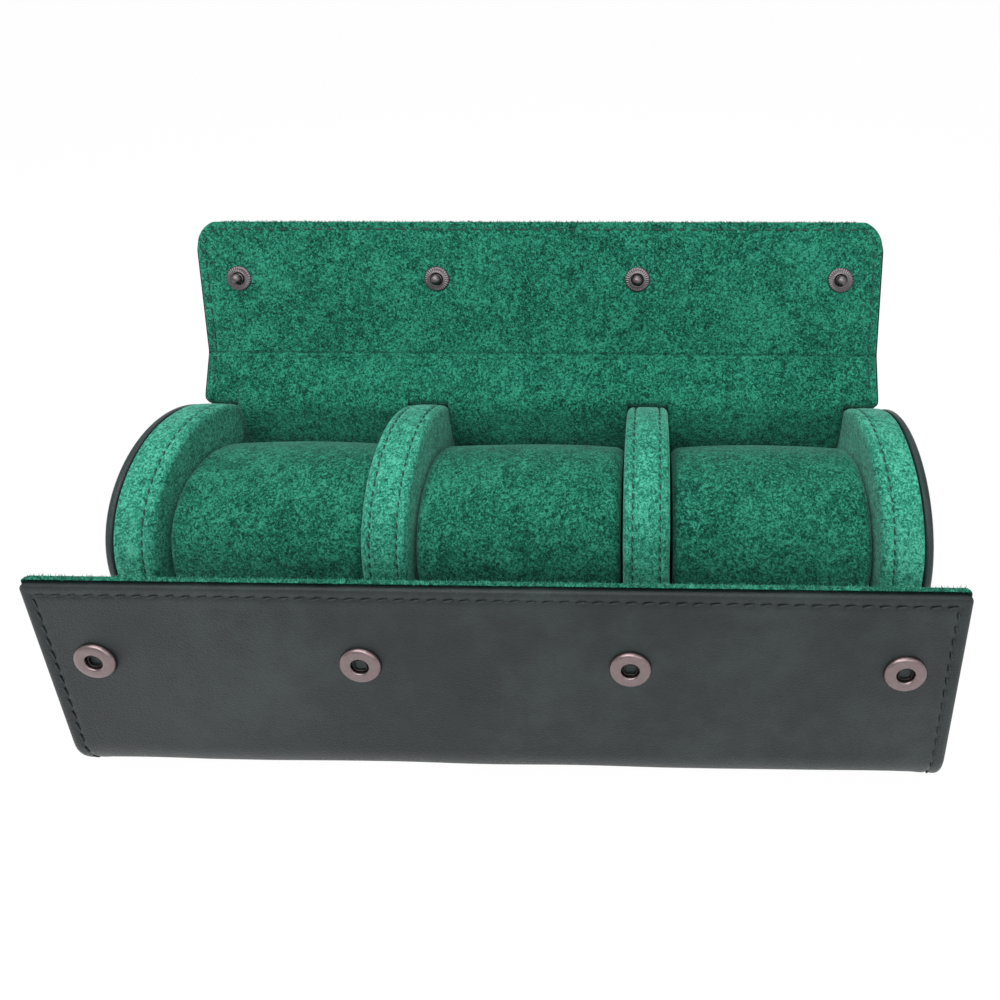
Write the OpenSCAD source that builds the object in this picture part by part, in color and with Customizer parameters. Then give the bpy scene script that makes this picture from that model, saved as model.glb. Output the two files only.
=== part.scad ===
// Watch travel case: a round roll for three watches, shown open.
// The padded wrap is cut at its fold lines, so each strip between two folds is one rigid set
// of suede lining, foam and leather. The origin lies on the ground under the roll's centre line,
// +X runs along the roll, +Y to the rear flap and +Z up.

/* [Roll] */
// Radius of the end caps and dividers
rim_r = 33.8; // [33:0.1:36]
// Room between a rim and the wrap's suede
seat = 0.3; // [0.2:0.05:0.5]
// Width of the wrap between the end discs
flap_w = 230.8; // [210:1:260]
// Thickness of one padded end cap
cap_t = 12; // [9:0.5:15]
// Thickness of one divider
divider_t = 13.4; // [9:0.2:16]
// Distance of each divider's middle from the roll's middle
divider_x = 37.5; // [34:0.5:41]
// Rounding of the caps' and dividers' soft rims
rim_round = 2; // [1.5:0.25:4]
// Thickness of the suede cover on caps and dividers
cover_t = 1.2; // [0.8:0.1:1.5]

/* [End discs] */
// How far a leather end disc's edge lies inside the cap's rim
disc_inset = 0.4; // [0.2:0.1:2]
// Thickness of a leather end disc
disc_t = 2.4; // [1.6:0.1:3]
// Rounding of an end disc's outer edge
disc_round = 1; // [0.4:0.1:1.4]
// Slit between the wrap's side edge and the end disc
side_slit = 0.2; // [0.1:0.05:0.5]

/* [Wrap] */
// Thickness of the suede lining
suede_t = 0.7; // [0.5:0.05:1]
// Thickness of the foam between suede and leather
foam_t = 0.7; // [0.5:0.05:1]
// Thickness of the leather
leather_t = 1; // [0.7:0.05:1.2]
// Half the opening at each fold line
fold_trim = 0.3; // [0.25:0.05:0.5]

/* [Front flap] */
// Length of the glued base in front of the roll's centre line
base_fwd = 11; // [10:0.5:12]
// Length of each flat strip on the ground
ground_l = 20.45; // [19.5:0.05:22]
// Radius of the suede where the flap turns up
bend_r = 11.2; // [10:0.1:14]
// Angle through which the flap turns up
bend = 100.5; // [90:0.5:105]
// Length of each of the two lower upright strips
rise_l = 18.2; // [18:0.05:20]
// Length of the upright top strip
top_l = 16.5; // [15:0.05:19]

/* [Rear flap] */
// Angle above the horizontal at which the rear flap leaves the roll
hinge_up = 49.5; // [46:0.5:56]
// Length of the strip below the crease
lower_l = 17.3; // [14:0.1:20]
// Backward lean of the strip below the crease
lower_lean = 37; // [24:0.5:40]
// Backward lean of the panel above the crease
upper_lean = 18.8; // [14:0.2:24]
// Length of each of the two long strips above the crease
upper_l = 17; // [16:0.2:19]
// Length of the last strip, up to the flap's edge
tip_l = 11.2; // [10.4:0.1:14]
// Radius of the flap's two top corners
corner_r = 9.5; // [2:0.5:9.8]

/* [Pillows] */
// How much less a pillow's long radius is than the rim's
pillow_less = 3.6; // [3.6:0.1:6]
// A pillow's short radius as a share of its long one
pillow_share = 0.89; // [0.84:0.01:0.9]
// Forward lean of a pillow's long radius
pillow_lean = 31; // [20:1:36]
// Distance of a pillow's middle in front of the roll's centre line
pillow_fwd = 3.7; // [3:0.1:3.8]
// Room under a pillow
pillow_room = 0.5; // [0.3:0.05:0.7]
// Gap between a pillow's end and the wall beside it
pillow_gap = 0.9; // [0.5:0.1:0.9]
// Drop from the pillow's crown to its shoulder
pillow_crown = 1.2; // [0.5:0.1:3]
// Rounding of a pillow's ends
pillow_round = 2.5; // [2:0.5:6]
// Thickness of a pillow's suede cover
pillow_cover_t = 1; // [0.8:0.1:1.5]

/* [Snaps] */
// Distance between neighbouring snaps
snap_pitch = 67.7; // [55:0.1:69]
// Distance of the sockets from the front flap's edge
socket_from_edge = 24.15; // [23.4:0.05:27]
// Distance of the studs from the rear flap's crease
stud_from_crease = 26; // [24:0.05:27]
// Outer radius of a socket ring
ring_r = 5.3; // [4.8:0.1:6]
// Height of a socket ring above the leather
ring_h = 1.5; // [1:0.1:1.5]
// Radius of the hole in a socket
hole_r = 2.3; // [2.1:0.05:2.6]
// Outer radius of the post behind a socket
post_r = 3; // [2.9:0.05:3.4]
// Radius of the flange on a post or a stud's rivet
flange_r = 4.2; // [3.8:0.1:4.6]
// Radius of a stud's base
stud_base_r = 4.25; // [3.8:0.05:4.8]
// Height of a stud's base above the suede
stud_base_h = 0.5; // [0.3:0.05:0.5]
// Radius of a stud's round head
stud_r = 1.9; // [1.6:0.05:1.95]
// Height of a stud above the suede
stud_h = 3.2; // [2.8:0.1:3.3]
// Radius of the domed cap on the rear flap's leather
button_r = 5.5; // [5:0.1:6.5]
// Height of the domed cap
button_h = 1.6; // [1.2:0.1:2]

/* [Hidden] */
round_fn = 96;
small_fn = 48;
hole_play = 0.05;
flange_t = 0.4;
stem_r = 1.3;
// How far the leather's flat underside runs on behind the centre line
flat_past = 1;

// The wrap's layers as distances from its suede face, going out to the leather
suede = [0, suede_t];
foam = [suede_t, suede_t + foam_t];
leather = [suede_t + foam_t, suede_t + foam_t + leather_t];
wrap_t = suede_t + foam_t + leather_t;
wrap_r = rim_r + seat;
centre_z = wrap_r + wrap_t;
disc_x = flap_w / 2 + side_slit;
disc_r = rim_r - disc_inset;
core_r = rim_r - cover_t;
core_round = rim_round - cover_t;

// Front flap: heading of the upright part and the points of its suede face, as [y, z]
front_heading = 180 - bend;
bend_y = -base_fwd - 2 * ground_l;
bend_z = wrap_t + bend_r;
bend_steps = 8;
function way(a) = [cos(a), sin(a)];
function bend_point(b, r) = [bend_y - r * sin(b), bend_z - r * cos(b)];
function strip_point(start, heading, along, out) =
    start + along * way(heading) + out * way(heading + 90);
rise_start = bend_point(bend, bend_r);
trim_b = fold_trim / bend_r * 180 / PI;

// Rear flap: the points of its suede face
hinge_point = [0, centre_z] + wrap_r * way(hinge_up);
lower_heading = 90 - lower_lean;
upper_heading = 90 - upper_lean;
crease_point = hinge_point + lower_l * way(lower_heading);
// Slant of both ends at the fold where the rear flap leaves the base
mitre = (hinge_up + lower_lean) / 2;
rear_starts = [
    hinge_point,
    crease_point,
    crease_point + upper_l * way(upper_heading),
    crease_point + 2 * upper_l * way(upper_heading)
];
rear_lengths = [lower_l, upper_l, upper_l, tip_l];
rear_headings = [lower_heading, upper_heading, upper_heading, upper_heading];

// Bays between the caps' inner faces and the dividers
bay_outer = disc_x - cap_t;
bay_inner = divider_x - divider_t / 2;
bay_split = divider_x + divider_t / 2;
side_bay_x = (bay_outer + bay_split) / 2;
side_pillow_l = bay_outer - bay_split - 2 * pillow_gap;
middle_pillow_l = 2 * (bay_inner - pillow_gap);
pillow_r = rim_r - pillow_less;
pillow_half_h = pillow_r * norm([cos(pillow_lean), pillow_share * sin(pillow_lean)]);
pillow_z = wrap_t + pillow_room + pillow_half_h;

suede_green = [0.02, 0.4, 0.28];
leather_green = [0.15, 0.19, 0.19];
foam_grey = [0.35, 0.36, 0.35];
board_brown = [0.5, 0.42, 0.33];
snap_metal = [0.5, 0.43, 0.44];

module along_x(width) {
    rotate([90, 0, 90]) linear_extrude(width, center = true) children();
}

// Base of the wrap, glued round the caps from the front fold to the rear flap's fold
module base_layer(layer) {
    reach = 2 * wrap_r;
    end = wrap_r * way(hinge_up - fold_trim / wrap_r * 180 / PI);
    past = layer == leather ? flat_past : 0;
    along_x(flap_w) {
        intersection() {
            translate([0, centre_z]) difference() {
                circle(wrap_r + layer[1], $fn = round_fn);
                circle(wrap_r + layer[0], $fn = round_fn);
            }
            translate([0, centre_z]) polygon([
                [0, 0], [0, -reach], [reach, -reach], end + reach * way(hinge_up - mitre), end
            ]);
        }
        translate([-base_fwd + fold_trim, wrap_t - layer[1]])
            square([base_fwd - fold_trim + past, layer[1] - layer[0]]);
    }
}

// One layer of strip number n of the front flap, from the base's fold to the flap's edge
module front_layer(n, layer) {
    inner = layer[0];
    outer = layer[1];
    first = n == 2 ? 0 : bend / 2 + trim_b;
    last = n == 2 ? bend / 2 - trim_b : bend;
    step = (last - first) / bend_steps;
    curve = [for (i = [0 : bend_steps]) bend_point(first + i * step, bend_r + inner)];
    back = [for (i = [bend_steps : -1 : 0]) bend_point(first + i * step, bend_r + outer)];
    ground_y = -base_fwd - (n - 1) * ground_l - fold_trim;
    start = rise_start + (n - 3) * rise_l * way(front_heading);
    near = n == 3 ? 0 : fold_trim;
    far = (n == 5 ? top_l : rise_l) - fold_trim;
    if (n == 1)
        along_x(flap_w) translate([ground_y - ground_l + 2 * fold_trim, wrap_t - outer])
            square([ground_l - 2 * fold_trim, outer - inner]);
    if (n == 2)
        along_x(flap_w) polygon(concat(
            [[ground_y, wrap_t - inner]], curve, back, [[ground_y, wrap_t - outer]]
        ));
    if (n == 3)
        along_x(flap_w) polygon(concat(
            curve,
            [strip_point(start, front_heading, far, inner)],
            [strip_point(start, front_heading, far, outer)],
            back
        ));
    if (n > 3)
        along_x(flap_w) polygon([
            strip_point(start, front_heading, near, inner),
            strip_point(start, front_heading, far, inner),
            strip_point(start, front_heading, far, outer),
            strip_point(start, front_heading, near, outer)
        ]);
}

// Puts a flat plate, drawn as [x, along], on the rear flap's strip number n
module on_rear(n, out) {
    start = rear_starts[n - 1];
    translate([0, start[0], start[1]]) rotate([rear_headings[n - 1], 0, 0])
        translate([0, 0, -out]) children();
}

// Outline of the rear flap's last strip, with its two round corners
module tip_outline() {
    square_l = tip_l - corner_r;
    intersection() {
        translate([-flap_w / 2, fold_trim]) square([flap_w, tip_l - fold_trim]);
        union() {
            translate([-flap_w / 2, 0]) square([flap_w, square_l]);
            translate([-flap_w / 2 + corner_r, 0]) square([flap_w - 2 * corner_r, tip_l]);
            for (side = [-1, 1])
                translate([side * (flap_w / 2 - corner_r), square_l])
                    circle(corner_r, $fn = small_fn);
        }
    }
}

// One layer of strip number n of the rear flap; the first strip's start is cut at a slant
module rear_layer(n, layer) {
    far = rear_lengths[n - 1] - fold_trim;
    if (n == 1)
        along_x(flap_w) polygon([
            strip_point(hinge_point, lower_heading, fold_trim + layer[0] * tan(mitre), -layer[0]),
            strip_point(hinge_point, lower_heading, far, -layer[0]),
            strip_point(hinge_point, lower_heading, far, -layer[1]),
            strip_point(hinge_point, lower_heading, fold_trim + layer[1] * tan(mitre), -layer[1])
        ]);
    if (n > 1)
        on_rear(n, layer[1]) linear_extrude(layer[1] - layer[0]) {
            if (n == 4) tip_outline();
            if (n < 4)
                translate([-flap_w / 2, fold_trim]) square([flap_w, far - fold_trim]);
        }
}

// Half a section of a padded disc with a soft rim, as [radius, height]
module soft_section(r, height, rounding) {
    intersection() {
        square([r, height]);
        union() {
            square([r, height - rounding]);
            square([r - rounding, height]);
            translate([r - rounding, height - rounding]) circle(rounding, $fn = small_fn);
        }
    }
}

// Turns a section round the roll's centre line: height runs inward from the end disc
module cap_turned(side) {
    translate([side * disc_x, 0, centre_z]) rotate([0, -side * 90, 0])
        rotate_extrude($fn = round_fn) children();
}

module cap_core(side) {
    color(board_brown) cap_turned(side) soft_section(core_r, cap_t - cover_t, core_round);
}

module cap_suede(side) {
    color(suede_green) cap_turned(side) difference() {
        soft_section(rim_r, cap_t, rim_round);
        soft_section(core_r, cap_t - cover_t, core_round);
    }
}

module end_disc(side) {
    color(leather_green) translate([side * disc_x, 0, centre_z]) rotate([0, side * 90, 0])
        rotate_extrude($fn = round_fn) soft_section(disc_r, disc_t, disc_round);
}

// Section of a divider: two soft halves back to back
module divider_section(r, thickness, rounding) {
    for (half = [0, 1])
        mirror([0, half]) soft_section(r, thickness / 2, rounding);
}

module divider_turned(side) {
    translate([side * divider_x, 0, centre_z]) rotate([0, 90, 0])
        rotate_extrude($fn = round_fn) children();
}

module divider_core(side) {
    color(board_brown) divider_turned(side)
        divider_section(core_r, divider_t - 2 * cover_t, core_round);
}

module divider_suede(side) {
    color(suede_green) divider_turned(side) difference() {
        divider_section(rim_r, divider_t, rim_round);
        divider_section(core_r, divider_t - 2 * cover_t, core_round);
    }
}

// Rings of a pillow from end to end, as [long radius, place along the roll]: crowned in the
// middle, with rounded ends
function pillow_rings(r, length) =
    let (
        rows = 3,
        turns = 3,
        flat_half = length / 2 - pillow_round,
        end_r = r - pillow_crown - pillow_round,
        corner = [for (i = [0 : turns]) [end_r, flat_half] + pillow_round * way(i * 90 / turns)]
    )
    concat(
        [for (i = [turns : -1 : 0]) [corner[i][0], -corner[i][1]]],
        [for (i = [1 - rows : rows - 1])
            [r - pillow_crown * pow(i / rows, 2), i / rows * flat_half]],
        corner
    );

// Stuffed body through its rings, oval across the roll; its short radius points up and back
module pillow_body(x, r, length) {
    sides = 28;
    rings = pillow_rings(r, length);
    last = len(rings) - 1;
    points = [for (ring = rings, i = [0 : sides - 1])
        let (a = i * 360 / sides) [ring[1], -pillow_share * ring[0] * sin(a), ring[0] * cos(a)]];
    walls = [for (n = [0 : last - 1], i = [0 : sides - 1])
        let (j = (i + 1) % sides)
            [n * sides + j, n * sides + i, (n + 1) * sides + i, (n + 1) * sides + j]];
    ends = [[for (i = [0 : sides - 1]) i], [for (i = [sides - 1 : -1 : 0]) last * sides + i]];
    translate([x, -pillow_fwd, pillow_z]) rotate([pillow_lean, 0, 0])
        polyhedron(points, concat(walls, ends), convexity = 2);
}

module pillow_core(x, length) {
    color(foam_grey)
        pillow_body(x, pillow_r - pillow_cover_t, length - 2 * pillow_cover_t);
}

module pillow_cover(x, length) {
    color(suede_green) difference() {
        pillow_body(x, pillow_r, length);
        pillow_body(x, pillow_r - pillow_cover_t, length - 2 * pillow_cover_t);
    }
}

// Places what belongs to each of the four snaps, on the front or the rear flap's surface.
// Local +Z points out of the leather in front, and out of the suede on the rear flap.
module at_sockets(out) {
    along = 2 * rise_l + top_l - socket_from_edge;
    p = strip_point(rise_start, front_heading, along, out);
    for (i = [0 : 3])
        translate([(i - 1.5) * snap_pitch, p[0], p[1]]) rotate([front_heading, 0, 0]) children();
}

module at_studs(out) {
    p = crease_point + stud_from_crease * way(upper_heading);
    for (i = [0 : 3])
        translate([(i - 1.5) * snap_pitch, p[0], p[1]]) rotate([upper_heading, 0, 0])
            translate([0, 0, -out]) children();
}

// Socket ring on the leather: rounded outside, with a small chamfer into the hole
module snap_sockets() {
    lip = 0.4;
    color(snap_metal) at_sockets(wrap_t) rotate_extrude($fn = small_fn) polygon([
        [hole_r, 0], [ring_r, 0], [ring_r, ring_h - lip], [ring_r - lip, ring_h],
        [hole_r + lip, ring_h], [hole_r, ring_h - lip]
    ]);
}

// Tube through leather and foam that carries the ring, with its flange under the suede
module socket_posts() {
    color(snap_metal) at_sockets(suede_t) difference() {
        union() {
            cylinder(h = foam_t + leather_t, r = post_r, $fn = small_fn);
            cylinder(h = flange_t, r = flange_r, $fn = small_fn);
        }
        translate([0, 0, flange_t / 2])
            cylinder(h = foam_t + leather_t, r = hole_r, $fn = small_fn);
    }
}

module post_holes() {
    at_sockets(0) cylinder(h = 2 * wrap_t, r = post_r + hole_play, $fn = small_fn);
    at_sockets(suede_t) cylinder(h = flange_t + hole_play, r = flange_r + hole_play, $fn = small_fn);
}

// Stud on the suede: knurled base, thin stem through the flap and a round head
module snap_studs() {
    head_z = stud_h - stud_r;
    color(snap_metal) at_studs(0) {
        cylinder(h = stud_base_h, r = stud_base_r, $fn = small_fn);
        cylinder(h = head_z, r = stem_r, $fn = small_fn);
        translate([0, 0, head_z]) sphere(stud_r, $fn = small_fn);
        translate([0, 0, -wrap_t]) cylinder(h = wrap_t + stud_base_h, r = stem_r, $fn = small_fn);
    }
}

// Domed cap on the outside of the rear flap, over the stud's stem
module stud_buttons() {
    lip = 0.5;
    steps = 6;
    dome = [for (i = [0 : steps])
        [button_r * cos(i * 90 / steps), -lip - (button_h - lip) * sin(i * 90 / steps)]];
    color(snap_metal) at_studs(wrap_t) rotate_extrude($fn = small_fn)
        polygon(concat([[0, 0], [button_r, 0]], dome));
}

module stem_holes() {
    at_studs(2 * wrap_t) cylinder(h = 3 * wrap_t, r = stem_r + hole_play, $fn = small_fn);
}

module base_suede() { color(suede_green) base_layer(suede); }
module base_foam() { color(foam_grey) base_layer(foam); }
module base_leather() { color(leather_green) base_layer(leather); }

module front_suede(n) { color(suede_green) front_layer(n, suede); }
module front_foam(n) {
    color(foam_grey) difference() {
        front_layer(n, foam);
        if (n == 4) post_holes();
    }
}
module front_leather(n) {
    color(leather_green) difference() {
        front_layer(n, leather);
        if (n == 4) post_holes();
    }
}

module rear_suede(n) {
    color(suede_green) difference() {
        rear_layer(n, suede);
        if (n == 3) stem_holes();
    }
}
module rear_foam(n) {
    color(foam_grey) difference() {
        rear_layer(n, foam);
        if (n == 3) stem_holes();
    }
}
module rear_leather(n) {
    color(leather_green) difference() {
        rear_layer(n, leather);
        if (n == 3) stem_holes();
    }
}

base_suede();
base_foam();
base_leather();
cap_core(-1);  // left_cap_core
cap_suede(-1);  // left_cap_suede
end_disc(-1);  // left_end_disc
cap_core(1);  // right_cap_core
cap_suede(1);  // right_cap_suede
end_disc(1);  // right_end_disc
divider_core(-1);  // left_divider_core
divider_suede(-1);  // left_divider_suede
divider_core(1);  // right_divider_core
divider_suede(1);  // right_divider_suede
pillow_core(-side_bay_x, side_pillow_l);  // pillow_core_left
pillow_core(0, middle_pillow_l);  // pillow_core_middle
pillow_core(side_bay_x, side_pillow_l);  // pillow_core_right
pillow_cover(-side_bay_x, side_pillow_l);  // pillow_cover_left
pillow_cover(0, middle_pillow_l);  // pillow_cover_middle
pillow_cover(side_bay_x, side_pillow_l);  // pillow_cover_right
front_suede(1);  // front_suede_1
front_suede(2);  // front_suede_2
front_suede(3);  // front_suede_3
front_suede(4);  // front_suede_4
front_suede(5);  // front_suede_5
front_foam(1);  // front_foam_1
front_foam(2);  // front_foam_2
front_foam(3);  // front_foam_3
front_foam(4);  // front_foam_4
front_foam(5);  // front_foam_5
front_leather(1);  // front_leather_1
front_leather(2);  // front_leather_2
front_leather(3);  // front_leather_3
front_leather(4);  // front_leather_4
front_leather(5);  // front_leather_5
rear_suede(1);  // rear_suede_1
rear_suede(2);  // rear_suede_2
rear_suede(3);  // rear_suede_3
rear_suede(4);  // rear_suede_4
rear_foam(1);  // rear_foam_1
rear_foam(2);  // rear_foam_2
rear_foam(3);  // rear_foam_3
rear_foam(4);  // rear_foam_4
rear_leather(1);  // rear_leather_1
rear_leather(2);  // rear_leather_2
rear_leather(3);  // rear_leather_3
rear_leather(4);  // rear_leather_4
snap_sockets();
socket_posts();
snap_studs();
stud_buttons();
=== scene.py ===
import math

import bpy
import numpy as np
from mathutils import Matrix, Vector


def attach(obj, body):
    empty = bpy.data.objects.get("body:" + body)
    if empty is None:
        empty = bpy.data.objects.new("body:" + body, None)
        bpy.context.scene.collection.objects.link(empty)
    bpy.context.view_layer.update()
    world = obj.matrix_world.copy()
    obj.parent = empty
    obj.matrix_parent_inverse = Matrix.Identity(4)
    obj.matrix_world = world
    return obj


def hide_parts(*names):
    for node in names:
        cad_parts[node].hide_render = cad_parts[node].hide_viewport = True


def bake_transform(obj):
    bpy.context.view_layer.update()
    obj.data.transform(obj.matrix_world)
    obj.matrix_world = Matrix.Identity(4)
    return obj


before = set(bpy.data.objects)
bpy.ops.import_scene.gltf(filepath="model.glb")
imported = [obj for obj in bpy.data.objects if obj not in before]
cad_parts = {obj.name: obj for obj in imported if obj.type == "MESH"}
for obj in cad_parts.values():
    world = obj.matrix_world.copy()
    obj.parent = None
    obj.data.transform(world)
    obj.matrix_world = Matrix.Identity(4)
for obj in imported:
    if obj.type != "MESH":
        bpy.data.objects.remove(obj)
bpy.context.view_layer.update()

MM = 0.001
rng = np.random.default_rng(7)

# Sizes of the case in millimetres, the same as in the CAD source
RIM, SEAT, FLAP_W, CAP_T, DIV_T, DIV_X = 33.8, 0.3, 230.8, 12.0, 13.4, 37.5
DISC_T, SLIT, WRAP_T = 2.4, 0.2, 2.4
BASE_FWD, GROUND_L, BEND_R, BEND = 11.0, 20.45, 11.2, 100.5
RISE_L, TOP_L = 18.2, 16.5
HINGE_UP, LOWER_L, LOWER_LEAN, UPPER_LEAN = 49.5, 17.3, 37.0, 18.8
UPPER_L, TIP_L, CORNER_R = 17.0, 11.2, 9.5
PILLOW_R, PILLOW_GAP, PILLOW_Y, PILLOW_Z = 30.2, 0.9, -3.7, 32.255
PILLOW_SHARE, PILLOW_LEAN = 0.89, math.radians(31)
PITCH, SOCKET_FROM_EDGE, STUD_FROM_CREASE = 67.7, 24.15, 26.0

# Sizes that only the looks need, in millimetres
LINE_STEP, GRID_X, GRID_S = 0.25, 1.6, 1.0      # spacing of the wrap's line and of its meshes
FRONT_CORNER_R, HINGE_FOLD_R, CREASE_FOLD_R = 1.6, 4.5, 4.0
STITCH_IN = 3.1                                 # edge stitches, from the flap's edge
CAP_GROOVE_IN, DIV_GROOVE_IN, DISC_STITCH_IN = 3.4, 2.8, 3.4
STITCH_L, STITCH_PITCH = 2.9, 4.0
TURN_STEPS = 200                                # faces round a padded disc

WRAP_R = RIM + SEAT
CENTRE_Z = WRAP_R + WRAP_T
DISC_X = FLAP_W / 2 + SLIT
HALF_W = FLAP_W / 2


def way(a):
    """Unit vector (y, z) at an angle in degrees."""
    return np.array([math.cos(math.radians(a)), math.sin(math.radians(a))])


FRONT_HEADING = 180 - BEND
BEND_Y = -BASE_FWD - 2 * GROUND_L
BEND_C = np.array([BEND_Y, WRAP_T + BEND_R])
RISE = BEND_C + BEND_R * np.array([-math.sin(math.radians(BEND)), -math.cos(math.radians(BEND))])
HINGE = np.array([0, CENTRE_Z]) + WRAP_R * way(HINGE_UP)
LOWER = 90 - LOWER_LEAN
UPPER = 90 - UPPER_LEAN
CREASE = HINGE + LOWER_L * way(LOWER)
SOCKET_AT = RISE + (2 * RISE_L + TOP_L - SOCKET_FROM_EDGE) * way(FRONT_HEADING)
STUD_AT = CREASE + STUD_FROM_CREASE * way(UPPER)


# The wrap's suede face is followed as two lines (s, points, outward directions), s being the way along.
# The front line starts at y = 0 under the roll and runs forward. The rear line starts at the same
# place and runs back and up round the roll.
def trace(parts):
    """Follows lines (start, heading, length, side) and arcs (centre, radius, two angles, sign)."""
    pts, outs, s = [], [], []
    total = 0.0
    for kind, *v in parts:
        if kind == "line":
            start, heading, length, side = v
            n = max(2, int(length / LINE_STEP))
            for i in range(n):
                pts.append(start + length * i / n * way(heading))
                outs.append(way(heading + side * 90))
                s.append(total + length * i / n)
            total += length
            end = start + length * way(heading), way(heading + side * 90)
        else:
            centre, r, a0, a1, sign = v
            length = abs(math.radians(a1 - a0)) * r
            n = max(2, int(length / LINE_STEP))
            for i in range(n):
                a = a0 + (a1 - a0) * i / n
                pts.append(centre + r * way(a))
                outs.append(sign * way(a))
                s.append(total + length * i / n)
            total += length
            end = centre + r * way(a1), sign * way(a1)
    pts.append(end[0])
    outs.append(end[1])
    s.append(total)
    return np.array(s), np.array(pts), np.array(outs)


def fold_cut(h0, h1, r):
    """How much of each leg a fold of radius r takes between two headings."""
    return r * math.tan(math.radians(abs(h1 - h0) / 2))


front_line = trace([
    ("line", np.array([0.0, WRAP_T]), 180, BASE_FWD + 2 * GROUND_L, 1),
    ("arc", BEND_C, BEND_R, -90, -90 - BEND, 1),
    ("line", RISE, FRONT_HEADING, 2 * RISE_L + TOP_L - 0.3, 1),
])
S_BEND = BASE_FWD + 2 * GROUND_L
S_RISE = S_BEND + math.radians(BEND) * BEND_R

hinge_cut = fold_cut(HINGE_UP + 90, LOWER, HINGE_FOLD_R)
crease_cut = fold_cut(LOWER, UPPER, CREASE_FOLD_R)
# the fold starts on the roll itself, so its first leg is bent: it begins a little before the hinge
arc_end = HINGE_UP - math.degrees(hinge_cut / WRAP_R)
leave = np.array([0, CENTRE_Z]) + WRAP_R * way(arc_end)
join = HINGE + hinge_cut * way(LOWER)
crease_start = CREASE - crease_cut * way(LOWER)
crease_end = CREASE + crease_cut * way(UPPER)
S_ARC = math.radians(90 + arc_end) * WRAP_R


def bezier_part(p0, d0, p1, d1, n=24):
    """Smooth turn from p0 to p1 with its directions, as line parts."""
    k = 0.55 * np.linalg.norm(p1 - p0)
    a, b, c, d = p0, p0 + k * d0, p1 - k * d1, p1
    t = np.linspace(0, 1, n + 1)[:, None]
    q = (1 - t) ** 3 * a + 3 * (1 - t) ** 2 * t * b + 3 * (1 - t) * t * t * c + t ** 3 * d
    parts = []
    for i in range(n):
        v = q[i + 1] - q[i]
        parts.append(("line", q[i], math.degrees(math.atan2(v[1], v[0])), float(np.linalg.norm(v)), -1))
    return parts


rear_line = trace(
    [("arc", np.array([0, CENTRE_Z]), WRAP_R, -90, arc_end, 1)]
    + bezier_part(leave, way(arc_end + 90), join, way(LOWER))
    + [("line", join, LOWER, LOWER_L - hinge_cut - crease_cut, -1)]
    + bezier_part(crease_start, way(LOWER), crease_end, way(UPPER), 10)
    + [("line", crease_end, UPPER, 2 * UPPER_L + TIP_L - crease_cut, -1)]
)
S_CREASE = rear_line[0][-1] - (2 * UPPER_L + TIP_L)
S_JOIN = S_CREASE - LOWER_L + hinge_cut


def smooth_line(line, width=1.2):
    """Evens out the outward directions, so that folds have no sharp shading."""
    s, p, o = line
    k = int(width / LINE_STEP)
    ker = np.ones(2 * k + 1) / (2 * k + 1)
    grid = np.arange(0, s[-1] + LINE_STEP / 2, LINE_STEP)
    pi = np.column_stack([np.interp(grid, s, p[:, j]) for j in (0, 1)])
    oi = np.column_stack([np.interp(grid, s, o[:, j]) for j in (0, 1)])
    pad = np.pad(oi, ((k, k), (0, 0)), mode="edge")
    oi = np.column_stack([np.convolve(pad[:, j], ker, "valid") for j in (0, 1)])
    oi /= np.linalg.norm(oi, axis=1)[:, None]
    return grid, pi, oi


front_line = smooth_line(front_line)
rear_line = smooth_line(rear_line)
S_FRONT_END = front_line[0][-1]
S_REAR_END = rear_line[0][-1]


def on_line(line, s, out):
    """The point (y, z) at s along a line and out from it."""
    g, p, o = line
    y = np.interp(s, g, p[:, 0]) + out * np.interp(s, g, o[:, 0])
    z = np.interp(s, g, p[:, 1]) + out * np.interp(s, g, o[:, 1])
    return y, z


def value_noise(x, y, scale, seed):
    """Smooth noise from -1 to 1 over two coordinates, from a few waves with fixed phases."""
    r = np.random.default_rng(seed)
    v = np.zeros_like(x, dtype=float)
    for i in range(7):
        a = r.uniform(0, 2 * math.pi)
        f = 2 * math.pi / (scale * r.uniform(0.6, 1.7))
        v += np.sin(f * (x * math.cos(a) + y * math.sin(a)) + r.uniform(0, 6.28))
    return v / 3.0


# ---------------------------------------------------------------- meshes
def new_mesh(name, verts, faces, smooth=True):
    me = bpy.data.meshes.new(name)
    me.from_pydata([tuple(v) for v in verts], [], [tuple(int(i) for i in f) for f in faces])
    me.validate()
    me.update()
    if smooth:
        me.polygons.foreach_set("use_smooth", [True] * len(me.polygons))
    ob = bpy.data.objects.new(name, me)
    bpy.context.scene.collection.objects.link(ob)
    return ob


def grid_faces(rows, cols, flip=False, wrap_cols=False):
    """Quads of a grid of points, row by row."""
    r = np.arange(rows - 1)[:, None]
    c = np.arange(cols if wrap_cols else cols - 1)[None, :]
    c2 = (c + 1) % cols
    a, b = r * cols + c, r * cols + c2
    d, e = (r + 1) * cols + c2, (r + 1) * cols + c
    f = np.stack([a, b, d, e], -1).reshape(-1, 4)
    return f[:, ::-1] if flip else f


# Finer grid lines at the flap's edges, as distances from them, and across the crease
EDGE_ROWS = [0, 0.08, 0.2, 0.4, 0.65, 0.95, 1.3, 1.7, 2.1, 2.5, 2.8, 3.05, 3.3, 3.6, 4.1, 5.0, 6.5]
CREASE_ROWS = [-2.2, -1.8, -1.4, -1.1, -0.8, -0.55, -0.35, -0.15, 0.0,
               0.15, 0.35, 0.55, 0.8, 1.1, 1.5, 2.0]
# How far each layer runs past the flap's nominal end: the suede stands out, the leather ends short
EDGE_PAST = {"suede": 0.7, "leather": -0.9}


def spread(lo, hi, step):
    """Even steps from lo to hi, both included."""
    n = max(1, int(round((hi - lo) / step)))
    return list(np.linspace(lo, hi, n + 1))


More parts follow.
